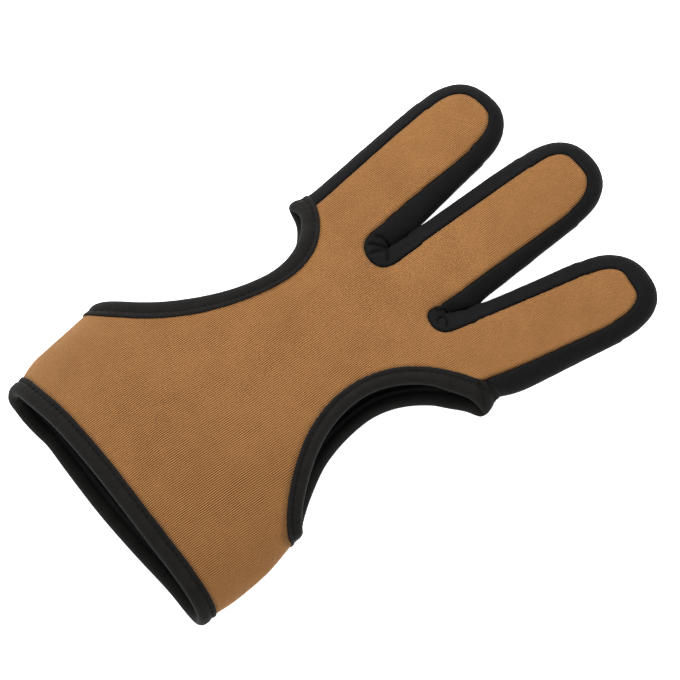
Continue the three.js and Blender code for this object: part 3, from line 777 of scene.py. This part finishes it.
def back_panel(materials):
    ring, seam = back_outline()
    ring = ready_ring(ring, 1)
    pattern = cut_pattern(ring, BACK_CELL, RIM_ROWS)
    x, arc = np.array([v.co[:2] for v in pattern.verts]).T
    turn = turns_of(x, arc)
    points = skin(x, turn, PANEL_INSET)
    in_plan = np.abs(turn) < math.pi / 2
    to_strip = np.where(in_plan & (x > 8), distance_to(seam, x, points[:, 1]), FAR)
    to_palm = np.full(len(x), float(FAR))
    for side in (-1, 1):
        here = ~in_plan & (np.sign(turn) == side)
        to_palm = np.where(here, to_palm_seam(side, x, points[:, 1]), to_palm)
    dip = seam_dip(to_strip) + seam_dip(to_palm, 1.0, 0.6)
    points = points - outward_at(x, turn, PANEL_INSET) * dip[:, None]
    # The distance to the strip's seam or to the nearest tape, kept for the brown colour's painted shade beside
    # them.
    edge = np.minimum(np.minimum(to_strip, beyond_tape(x, y_at(x, turn), "over")), EDGE_READ)
    obj = bent_panel(pattern, points, np.stack([x, arc, edge], 1), "back_panel_cloth", materials)
    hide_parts("back_panel")
    cut = np.ptp(ring, axis=0)[::-1] * MM
    abs(area(ring)) * MM ** 2


def palm_panel(materials):
    ring, seam = palm_outline()
    ring = ready_ring(ring, -1)
    pattern = cut_pattern(ring, PALM_CELL, RIM_ROWS)
    x, y = np.array([v.co[:2] for v in pattern.verts]).T
    turn = math.pi - turn_at(x, y)
    to_seam = np.where(x > 8, distance_to(seam, x, y), FAR)
    for side in (-1, 1):
        to_seam = np.minimum(to_seam, to_palm_seam(side, x, y) + 0.25)
    dip = outward_at(x, turn, PANEL_INSET) * seam_dip(to_seam, 1.1, 0.7)[:, None]
    points = skin(x, turn, PANEL_INSET) - dip
    # The third column, the distance to the seams, is kept for the brown colour's painted shade beside them.
    cloth = np.stack([x, y, np.minimum(to_seam, EDGE_READ)], 1)
    obj = bent_panel(pattern, points, cloth, "palm_panel_cloth", materials)
    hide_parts("palm_panel")
    cut = np.ptp(ring, axis=0)[::-1] * MM
    abs(area(ring)) * MM ** 2


def seam_cover(side, name, material):
    """The flat tape glued inside over a palm seam, seen through the wrist opening."""
    rows, cells, half_width, crown = 70, 8, 2.6, 0.5
    x = np.linspace(WRIST_EDGE + 4.2, -74.0, rows + 1)

    def place(u, v):
        across = (v / cells - 0.5) * 2
        at = palm_seam(side, x)[u] + side * half_width * across
        turn = math.pi - turn_at(x[u], at)
        lift = SHEET + 0.12 + crown * np.sqrt(1 - np.abs(across) ** 3)
        points = skin(x[u], turn, PANEL_INSET) - outward_at(x[u], turn, PANEL_INSET) * lift[:, None]
        return settled(points), np.stack([x[u], at, across * 0], 1), np.ones(len(u))

    bm = bent_grid(rows, cells, place)
    bm.normal_update()
    if sum(face.normal.z for face in bm.faces) < 0:
        bmesh.ops.reverse_faces(bm, faces=bm.faces)
    solidify(mesh_object(bm, name, [material]), 0.3)


# Finger strip.

def strip_point(rows, v):
    """Points of the strip on the skin and how far each is from its seam. v is 0 at the lower
    seam, 0.5 at the side and 1 at the upper; the last two columns of rows are the way inwards."""
    over = v >= 0.5
    limit = np.arccos(1 - np.where(over, rows[:, 2], STRIP_UNDER) / FINGER_CORNER)
    inward = FINGER_CORNER * (1 - np.cos(limit * abs(2 * v - 1)))
    at = rows[:, :2] + rows[:, 4:] * inward[:, None]
    z = top_at(*at.T) if over else underside_at(*at.T)
    return np.concatenate([at, z[:, None]], 1), limit * FINGER_CORNER * (1 - abs(2 * v - 1))


def strip_start(rows, reach, v, cutout):
    """How far along the outline the strip comes out from under a cut-out's binding."""
    x, y = strip_point(rows, v)[0][:, :2].T
    layer = "over" if v >= 0.5 else "under"
    clear = -cutout["side"] * (y - cutout_y(cutout, x - 1.4, layer)) > 0.6
    clear |= x > cutout["end"] + 1.6
    return reach[int(np.argmax(clear))]


def finger_strip(material):
    outline = np.concatenate(strip_rows(OUTLINE_STEP), 1)
    reach = reaches(outline[:, :2], 0.12)
    left = reach[-1] - reach
    near, ease = 60, 25.0
    rows = []
    for j in range(STRIP_CELLS + 1):
        swing = math.cos(math.pi * j / STRIP_CELLS)
        v = 0.5 - 0.5 * swing * (0.72 + 0.28 * abs(swing))
        start = strip_start(outline[:near], reach[:near], v, THUMB_CUTOUT)
        stop = strip_start(outline[::-1][:near], left[::-1][:near], v, LITTLE_CUTOUT)
        at = reach + start * np.clip(1 - reach / ease, 0, 1) - stop * np.clip(1 - left / ease, 0, 1)
        here = resampled(outline, reach, at)
        rows.append((*strip_point(here, v), here[:, 3], np.full(len(at), v), at))
    points, across, gather, v, along = (np.stack(part, 1) for part in zip(*rows))
    normal = unit(np.cross(np.gradient(points, axis=0), np.gradient(points, axis=1)))
    if normal[:, -3, 2].sum() < 0:
        normal = -normal
    for _ in range(2):
        normal[1:-1] = 0.5 * normal[1:-1] + 0.25 * (normal[:-2] + normal[2:])
        normal = unit(normal)
    rise = 0.14 * np.sin(np.pi * v) ** 0.5 + 0.16 * np.sin(2 * np.pi * v) ** 2
    rise += pressed_together(points, gather, v)
    pressed, open_cloth = creased(points)
    above = smoothstep(v, 0.45, 0.6)
    rise += crotch_fullness(gather, v) - pressed * above
    # Painted shade in the creases, on the upper side of the strip only.
    shade = 1 - (1 - open_cloth) * above
    ripple = np.array([
        noise.noise(Vector((a * 0.16, q * 4.0, 0.0))) + 0.5 * noise.noise(Vector((a * 0.45, q * 6.0, 7.0)))
        for a, q in zip(along.ravel(), v.ravel())
    ]).reshape(v.shape)
    rise += 0.10 * ripple * np.sin(np.pi * v)
    points = settled(points + normal * (rise - seam_dip(across, 1.0, 1.0))[..., None])
    cloth = np.stack([along, across, np.minimum(across, EDGE_READ)], 2)
    bm = bent_grid(len(reach) - 1, STRIP_CELLS, lambda i, j: (points[i, j], cloth[i, j], shade[i, j]))
    face_out(bm, points, normal)
    obj = mesh_object(bm, "finger_strip_cloth", [material])
    solidify(obj, STRIP)
    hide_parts("finger_sidewall")


def face_out(bm, points, normal):
    """Turns an open sheet's faces so that they point the way its normals do, as seen at the
    middle finger's tip, where no other cloth is near."""
    bm.normal_update()
    across = points.shape[1] // 2
    along = int(np.argmax(points[:, across, 0]))
    middle = points[along, across] * MM
    way = Vector(normal[along, across])
    bm.faces.ensure_lookup_table()
    nearest = min(bm.faces, key=lambda f: (f.calc_center_median() - Vector(middle)).length)
    if nearest.normal.dot(way) < 0:
        bmesh.ops.reverse_faces(bm, faces=bm.faces)


def pressed_together(points, gather, v):
    """How far the two sides of a slit bulge to meet, and those beside its mouth."""
    side = np.exp(-((v - 0.5) / 0.16) ** 2)
    bulge = 0.46 * smoothstep(gather, 0.0, 0.25) * (1 - smoothstep(gather, 2.75, 3.0))
    for n, beyond in ((0, 3.4), (1, 2.0)):
        mouth = slit_mouth(n)
        away = (points[..., 0] - mouth[0] - beyond) ** 2 + (points[..., 1] - mouth[1]) ** 2
        bulge = np.maximum(bulge, (0.8 - 0.2 * n) * np.exp(-away / 3.0 ** 2))
    return side * bulge


def crotch_fullness(gather, v):
    """The strip's fullness round the end of a slit, where it is eased in."""
    window = smoothstep(gather, 0.7, 1.0) * (1 - smoothstep(gather, 2.0, 2.3))
    return 0.6 * window * np.sin(np.pi * np.clip(2 * np.abs(v - 0.5), 0, 1)) ** 0.8


# Bindings.

def tape_profile(width):
    """A folded tape's section as (into the cloth, above the skin), and how many of its points
    are in the outer leg. The sheet between its legs is SHEET thick."""
    leg = [
        (width, 0.02), (width + 0.05, 0.3), (width - 0.15, 0.55), (width - 0.6, 0.66),
        (width - 1.05, 0.56), (width - 1.4, 0.4), (width - STITCH_INSET, 0.34), (width - 1.9, 0.4),
        (width - 2.25, 0.6), (width - 2.7, 0.78), (width - 3.3, 0.92), (width - 4.0, 0.9), (0.5, 0.76),
        (0.0, 0.5), (-0.45, 0.1), (-0.78, -0.35), (-0.95, -0.8),
    ]
    outer = leg + [(-1.0, -SHEET / 2)] + [(a, -SHEET - h) for a, h in leg[::-1]]
    lining = [
        (width - 0.1, -SHEET + 0.02), (1.2, -SHEET + 0.02), (0.5, -SHEET + 0.5), (0.35, -SHEET / 2),
        (0.5, -0.5), (1.2, -0.02), (width - 0.1, -0.02),
    ]
    return np.array(outer + lining), len(leg)


def tape_ring(points_at, count, length, width, name, material, node):
    """A binding swept round a closed edge. points_at(across, above) gives, for every station,
    the points at those offsets from the edge."""
    profile, leg = tape_profile(width)
    cells = len(profile)
    along = np.arange(count) * length / count
    pitch = length / round(length / STITCH_PITCH)
    beat = 0.5 + 0.5 * np.cos(2 * math.pi * along / pitch)
    wander = np.array([
        noise.noise(Vector((a * 0.12, width, 3.0))) + 0.5 * noise.noise(Vector((a * 0.5, width, 9.0)))
        for a in along
    ])
    wander *= np.clip(np.minimum(along, length - along) / 6, 0, 1)
    layers = []
    for j, (across, above) in enumerate(profile):
        k = j if j < leg else 2 * leg - j
        shift = np.zeros(count)
        if 0 < k < leg and j < 2 * leg + 1:
            from_stitch = abs(across - (width - STITCH_INSET))
            shift += -0.22 * beat ** 3 * math.exp(-(from_stitch / 0.45) ** 2)
            shift += 0.10 * (beat - 0.5) * -math.exp(-((from_stitch - 1.2) / 0.8) ** 2)
            shift += 0.13 * wander * math.exp(-(from_stitch / 3.0) ** 2)
        here = np.full(count, across) + (0.12 * wander if 0 < k < 6 else 0)
        layers.append(points_at(here, above + (-1 if j > leg else 1) * shift))
    points = np.stack(layers, 1)
    normal = unit(np.cross(round_step(points, 0), round_step(points, 1)))
    if normal[count // 4, 4, 2] * (points[count // 4, 4, 2] - points[count // 4, leg * 2, 2]) < 0:
        normal = -normal
    pressed, open_cloth = creased(points)
    above = smoothstep(normal[..., 2], 0.0, 0.4) * (np.arange(cells) <= leg)
    points = settled(points - normal * (pressed * above)[..., None])
    # Painted shade in the creases, on the upward faces of the outer leg only.
    shade = 1 - (1 - open_cloth) * above

    def place(i, j):
        i, j = i % count, j % cells
        return points[i, j], np.column_stack([profile[j], along[i]]), shade[i, j]

    bm = bent_grid(count, cells, place, weld=True)
    bmesh.ops.recalc_face_normals(bm, faces=bm.faces)
    obj = mesh_object(bm, name, [material])
    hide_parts(node)
    folded = float(np.linalg.norm(np.diff(profile[:2 * leg + 1], axis=0), axis=1).sum())
    return along, pitch


def stitches(points_at, along, pitch, width, name, material):
    """One row of lockstitches on each face of a binding, each a short thread in its dimple."""
    thread = bmesh.new()
    bmesh.ops.create_uvsphere(thread, u_segments=8, v_segments=6, radius=1)
    bmesh.ops.rotate(thread, verts=thread.verts, matrix=Matrix.Rotation(math.pi / 2, 3, "Y"))
    one = bpy.data.meshes.new("one stitch")
    thread.to_mesh(one)
    thread.free()
    bm = bmesh.new()
    length = along[-1] + along[1]
    inset = np.full(len(along), width - STITCH_INSET)

    def line_at(above):
        return settled(points_at(inset, np.full(len(along), above)))

    def on(line, place):
        return np.array([np.interp(place % length, along, line[:, k], period=length) for k in range(3)])

    for above, higher in ((0.3, 0.8), (-SHEET - 0.3, -SHEET - 0.8)):
        line = line_at(above)
        upwards = line_at(higher) - line
        for n in range(round(length / pitch)):
            a, middle, b = (on(line, (n + share) * pitch) for share in (0.14, 0.5, 0.86))
            up, way = unit(on(upwards, (n + 0.5) * pitch)), unit(b - a)
            basis = Matrix((way, np.cross(up, way), up)).transposed().to_4x4()
            size = Matrix.Diagonal((0.5 * np.linalg.norm(b - a) * MM, 0.24 * MM, 0.17 * MM, 1))
            laid = one.copy()
            laid.transform(Matrix.Translation(Vector((middle + up * 0.1) * MM)) @ basis @ size)
            bm.from_mesh(laid)
            bpy.data.meshes.remove(laid)
    bpy.data.meshes.remove(one)
    mesh_object(bm, name, [material])


def cutout_binding(cutout, name, material, thread, node):
    count = 84 * STATIONS_A_STITCH
    points, away = cutout_frames(cutout, count)
    length = float(np.linalg.norm(np.roll(points, -1, 0) - points, axis=1).sum())
    wide = np.ones(count)
    for x, reach, share in cutout["wider"]:
        wide += share * np.exp(-((points[:, 0] - x) / reach) ** 2)

    def points_at(across, above):
        across = np.where(across > 0, across * wide, across)
        x, turn = place_on_skin(points + away * across[:, None], cutout["side"])
        out = smoothed_round(outward_at(x, turn), 3)
        return smoothed_round(skin(x, turn), 1) + out * above[:, None]

    along, pitch = tape_ring(points_at, count, length, CUTOUT_TAPE_WIDTH, name, material, node)
    stitches(points_at, along, pitch, CUTOUT_TAPE_WIDTH, name + "_stitches", thread)


def wrist_binding(name, material, thread):
    count = 105 * STATIONS_A_STITCH
    turn = np.linspace(0, 2 * math.pi, 6 * count + 1)
    reach = reaches(skin(float(WRIST_EDGE), turn))
    turn = np.interp(np.linspace(0, reach[-1], count, endpoint=False), reach, turn)
    length = float(reach[-1])

    def points_at(across, above):
        x = WRIST_EDGE + across
        out = smoothed_round(outward_at(x, turn), 3)
        return skin(x, turn) + out * above[:, None]

    along, pitch = tape_ring(points_at, count, length, WRIST_TAPE_WIDTH, name, material, "wrist_binding")
    stitches(points_at, along, pitch, WRIST_TAPE_WIDTH, name + "_stitches", thread)


# Materials.

def fill(tree, made, values):
    """Gives a node's inputs their numbers, their colours or what other nodes put out."""
    for key, value in values.items():
        if isinstance(value, bpy.types.NodeSocket):
            tree.links.new(value, made.inputs[key])
        else:
            made.inputs[key].default_value = (*value, 1) if isinstance(value, tuple) else value


def node(tree, kind, values, **settings):
    made = tree.nodes.new(kind)
    for key, value in settings.items():
        setattr(made, key, value)
    fill(tree, made, values)
    return made


def math_node(tree, operation, *values):
    return node(tree, "ShaderNodeMath", dict(enumerate(values)), operation=operation).outputs[0]


def product(tree, first, *others):
    for other in others:
        first = math_node(tree, "MULTIPLY", first, other)
    return first


def mapped(tree, value, low, high, to_low=0.0, to_high=1.0):
    """A value with the range from low to high carried over to another range."""
    ends = {"From Min": low, "From Max": high, "To Min": to_low, "To Max": to_high}
    return node(tree, "ShaderNodeMapRange", {"Value": value, **ends}).outputs["Result"]


def mixed(tree, share, a, b, blend="MIX"):
    made = node(tree, "ShaderNodeMix", {}, data_type="RGBA", blend_type=blend)
    fill(tree, made, {0: share, 6: a, 7: b})
    return made.outputs[2]


def shaded(tree, colour, share):
    """A colour multiplied by a plain value."""
    grey = node(tree, "ShaderNodeCombineColor", {0: share, 1: share, 2: share})
    return mixed(tree, 1.0, colour, grey.outputs[0], "MULTIPLY")


def new_group(name, inputs, outputs):
    """A node group. An input without a number is a vector, and all else are plain values."""
    group = bpy.data.node_groups.new(name, "ShaderNodeTree")
    for label, value in inputs.items():
        kind = "NodeSocketVector" if value is None else "NodeSocketFloat"
        item = group.interface.new_socket(name=label, in_out="INPUT", socket_type=kind)
        if value is not None:
            item.default_value = value
    for label in outputs:
        group.interface.new_socket(name=label, in_out="OUTPUT", socket_type="NodeSocketFloat")
    return group, group.nodes.new("NodeGroupInput").outputs, group.nodes.new("NodeGroupOutput")


def knit_group():
    """Fine ribs of a weft knit along one direction, with loops along each rib."""
    group, into, out = new_group(
        "knit ribs", {"Along": 0.0, "Across": 0.0, "Pitch": 0.0007, "Wander": 0.0}, ("Height", "Loops"))
    across = math_node(group, "ADD", into["Across"], into["Wander"])
    turns = math_node(group, "DIVIDE", across, into["Pitch"])
    rib = math_node(group, "COSINE", math_node(group, "MULTIPLY", turns, 2 * math.pi))
    course = math_node(group, "DIVIDE", into["Along"], into["Pitch"])
    course = math_node(group, "MULTIPLY", course, 2 * math.pi * 1.25)
    shift = math_node(group, "MULTIPLY", turns, math.pi)
    loop = math_node(group, "COSINE", math_node(group, "ADD", course, shift))
    fill(group, out, {
        "Height": math_node(group, "MULTIPLY_ADD", rib, 0.5, 0.5),
        "Loops": math_node(group, "MULTIPLY_ADD", loop, 0.5, 0.5),
    })
    return group


def mottle_group():
    """Soft blotches and fine fuzz of worn jersey, both from 0 to 1."""
    group, into, out = new_group(
        "cloth mottle", {"Vector": None, "Blotch Scale": 90.0, "Fuzz Scale": 1500.0}, ("Blotch", "Fuzz"))
    for label, detail in (("Blotch", 4.0), ("Fuzz", 2.0)):
        grain = node(group, "ShaderNodeTexNoise", {
            "Vector": into["Vector"], "Scale": into[label + " Scale"], "Detail": detail, "Roughness": 0.6})
        fill(group, out, {label: mapped(group, grain.outputs["Fac"], 0.3, 0.7)})
    return group


KNIT = knit_group()
MOTTLE = mottle_group()


def grouped(tree, group, values):
    return node(tree, "ShaderNodeGroup", values, node_tree=group).outputs


def new_material(name):
    material = bpy.data.materials.new(name)
    material.use_nodes = True
    tree = material.node_tree
    return material, tree, tree.nodes["Principled BSDF"]


def parts_of(tree, vector):
    return node(tree, "ShaderNodeSeparateXYZ", {0: vector}).outputs


def stored(tree, name):
    return node(tree, "ShaderNodeAttribute", {}, attribute_name=name).outputs


def relief(tree, knit, ribs, mottle, fuzz, strength, distance):
    """Bumps of the knit and of its fuzz, each with its share."""
    height = math_node(tree, "ADD", math_node(tree, "MULTIPLY", knit["Height"], ribs),
                       math_node(tree, "MULTIPLY", mottle["Fuzz"], fuzz))
    bump = {"Strength": strength, "Distance": distance, "Height": height}
    return node(tree, "ShaderNodeBump", bump).outputs["Normal"]


def brown_jersey():
    material, tree, shader = new_material("brown ribbed jersey")
    along, across, edge = parts_of(tree, stored(tree, "cloth")["Vector"])
    place = node(tree, "ShaderNodeTexCoord", {}).outputs["Object"]
    mottle = grouped(tree, MOTTLE, {"Vector": place, "Blotch Scale": 55.0, "Fuzz Scale": 1400.0})
    drift = node(tree, "ShaderNodeTexNoise", {"Vector": place, "Scale": 60.0, "Detail": 2.0})
    wander = math_node(tree, "MULTIPLY", drift.outputs["Fac"], 0.0012)
    knit = grouped(tree, KNIT, {"Along": along, "Across": across, "Wander": wander, "Pitch": 0.00069})
    colour = mixed(tree, mottle["Blotch"], (0.267, 0.1175, 0.0355), (0.323, 0.1455, 0.0462))
    # The ribs are worn in blotches, so their painted shade is weaker there, and it is weaker towards the fingers
    # and at the thumb side.
    ribs = product(
        tree, math_node(tree, "SUBTRACT", knit["Height"], 0.5),
        math_node(tree, "MULTIPLY_ADD", mottle["Blotch"], -0.5, 1.0),
        mapped(tree, along, -0.03, 0.045, 1.45, 0.55),
        mapped(tree, across, -0.056, -0.03, 0.45, 1.0),
    )
    # Painted shade: the colour is darker in the grooves between the ribs and loops and lighter on their crests, and
    # darker beside seams and tapes, where shade falls; the fuzz only varies its tone.
    shade = product(
        tree, math_node(tree, "MULTIPLY_ADD", ribs, 1.15, 0.87),
        math_node(tree, "MULTIPLY_ADD", knit["Loops"], 0.06, 0.94),
        math_node(tree, "MULTIPLY_ADD", mottle["Fuzz"], 0.22, 0.88),
        mapped(tree, edge, 0.0, 0.0016, 0.62, 1.0),
    )
    fill(tree, shader, {
        "Base Color": shaded(tree, colour, shade), "Normal": relief(tree, knit, 0.7, mottle, 0.5, 0.85, 0.00025),
        "Roughness": 0.92, "Specular IOR Level": 0.2,
        "Sheen Weight": 0.18, "Sheen Roughness": 0.5, "Sheen Tint": (1.0, 0.72, 0.42),
    })
    return material


def black_cloth(name, tone, pitch, specular, sheen, strength, creases=True):
    material, tree, shader = new_material(name)
    place = node(tree, "ShaderNodeTexCoord", {}).outputs["Object"]
    mottle = grouped(tree, MOTTLE, {"Vector": place, "Blotch Scale": 220.0, "Fuzz Scale": 1800.0})
    along, across, _ = parts_of(tree, place)
    knit = grouped(tree, KNIT, {"Along": along, "Across": across, "Pitch": pitch})
    share = math_node(tree, "MULTIPLY_ADD", mottle["Fuzz"], 0.5, math_node(tree, "MULTIPLY", mottle["Blotch"], 0.5))
    colour = mixed(tree, share, tuple(c * 0.7 for c in tone), tuple(c * 1.5 for c in tone))
    # Painted shade: the colour darkens down to 0.12 of its tone where the cloth lies deep in a crease.
    if creases:
        colour = shaded(tree, colour, mapped(tree, stored(tree, "open")["Fac"], 0.0, 1.0, 0.12, 1.0))
    fill(tree, shader, {
        "Base Color": colour, "Normal": relief(tree, knit, 0.5, mottle, 0.6, strength, 0.0002),
        "Roughness": math_node(tree, "MULTIPLY_ADD", mottle["Fuzz"], 0.12, 0.74),
        "Specular IOR Level": specular, "Sheen Weight": sheen, "Sheen Roughness": 0.45,
    })
    return material


BROWN = brown_jersey()
LINING = black_cloth("black lining jersey", (0.0125, 0.0117, 0.0107), 0.0009, 0.06, 0.01, 0.5, creases=False)
STRETCH = black_cloth("black stretch strip", (0.0047, 0.0044, 0.0046), 0.0007, 0.10, 0.018, 0.45)
TAPE = black_cloth("black binding tape", (0.0072, 0.0067, 0.0061), 0.0006, 0.12, 0.03, 0.5)
# The thread has a darker tone than the tape: partly the thread's own black, partly painted shade of the dimples it
# lies in.
THREAD = black_cloth("black thread", (0.0032, 0.0030, 0.0029), 0.0003, 0.15, 0.0, 0.3, creases=False)

back_panel([BROWN, LINING])
palm_panel([BROWN, LINING])
seam_cover(-1, "seam_cover_thumb_side", TAPE)
seam_cover(1, "seam_cover_little_side", TAPE)
finger_strip(STRETCH)
wrist_binding("wrist_tape", TAPE, THREAD)
cutout_binding(THUMB_CUTOUT, "thumb_tape", TAPE, THREAD, "thumb_binding")
cutout_binding(LITTLE_CUTOUT, "little_finger_tape", TAPE, THREAD, "little_finger_binding")


# Floor, light and camera.

def floor():
    bm = bmesh.new()
    bmesh.ops.create_grid(bm, x_segments=1, y_segments=1, size=3)
    bmesh.ops.translate(bm, verts=bm.verts, vec=(0, 0, -0.0004))
    mesh = bpy.data.meshes.new("floor")
    bm.to_mesh(mesh)
    bm.free()
    material, tree, shader = new_material("white card")
    fill(tree, shader, {
        "Base Color": (0.85, 0.85, 0.85), "Roughness": 0.9, "Specular IOR Level": 0.1,
        "Emission Color": (1, 1, 1), "Emission Strength": 1.0,
    })
    mesh.materials.append(material)
    add_object("floor", mesh)


def area_light(name, place, target, size, power):
    light = bpy.data.lights.new(name, "AREA")
    light.shape = "DISK"
    light.size = size
    light.energy = power
    obj = add_object(name, light)
    obj.location = place
    obj.rotation_euler = (Vector(target) - Vector(place)).to_track_quat("-Z", "Y").to_euler()


def studio():
    world = bpy.data.worlds.new("studio")
    bpy.context.scene.world = world
    world.use_nodes = True
    fill(world.node_tree, world.node_tree.nodes["Background"], {"Color": (1, 1, 1), "Strength": 0.28})
    area_light("key", (-0.1, 1.0, 0.6), (0, 0, 0), 0.8, 9)
    area_light("right", (-0.3, -0.9, 0.5), (0, 0, 0), 0.8, 4.2)
    area_light("left", (-0.95, 0.2, 0.55), (0, 0, 0), 0.7, 2.4)
    area_light("overhead", (0.18, 0.10, 0.36), (0.08, 0, 0), 0.22, 1.5)


def camera():
    azimuth, elevation, distance = math.radians(-39), math.radians(68), 0.9
    pixel, pixels, sensor, target = 0.351 * MM, 680, 36, Vector((0, 0, 8 * MM))
    level = math.cos(elevation)
    back = Vector((math.sin(azimuth) * level, -math.cos(azimuth) * level, math.sin(elevation)))
    right = Vector((math.cos(azimuth), math.sin(azimuth), 0))
    lens = bpy.data.cameras.new("camera")
    lens.sensor_width = sensor
    lens.lens = sensor * distance / (pixel * pixels)
    lens.clip_end = 10
    obj = add_object("camera", lens)
    turn = Matrix((right, back.cross(right), back)).transposed().to_4x4()
    obj.matrix_world = Matrix.Translation(target + back * distance) @ turn
    bpy.context.scene.camera = obj


floor()
studio()
camera()
bpy.context.scene.view_settings.view_transform = "Standard"

bpy.context.view_layer.update()
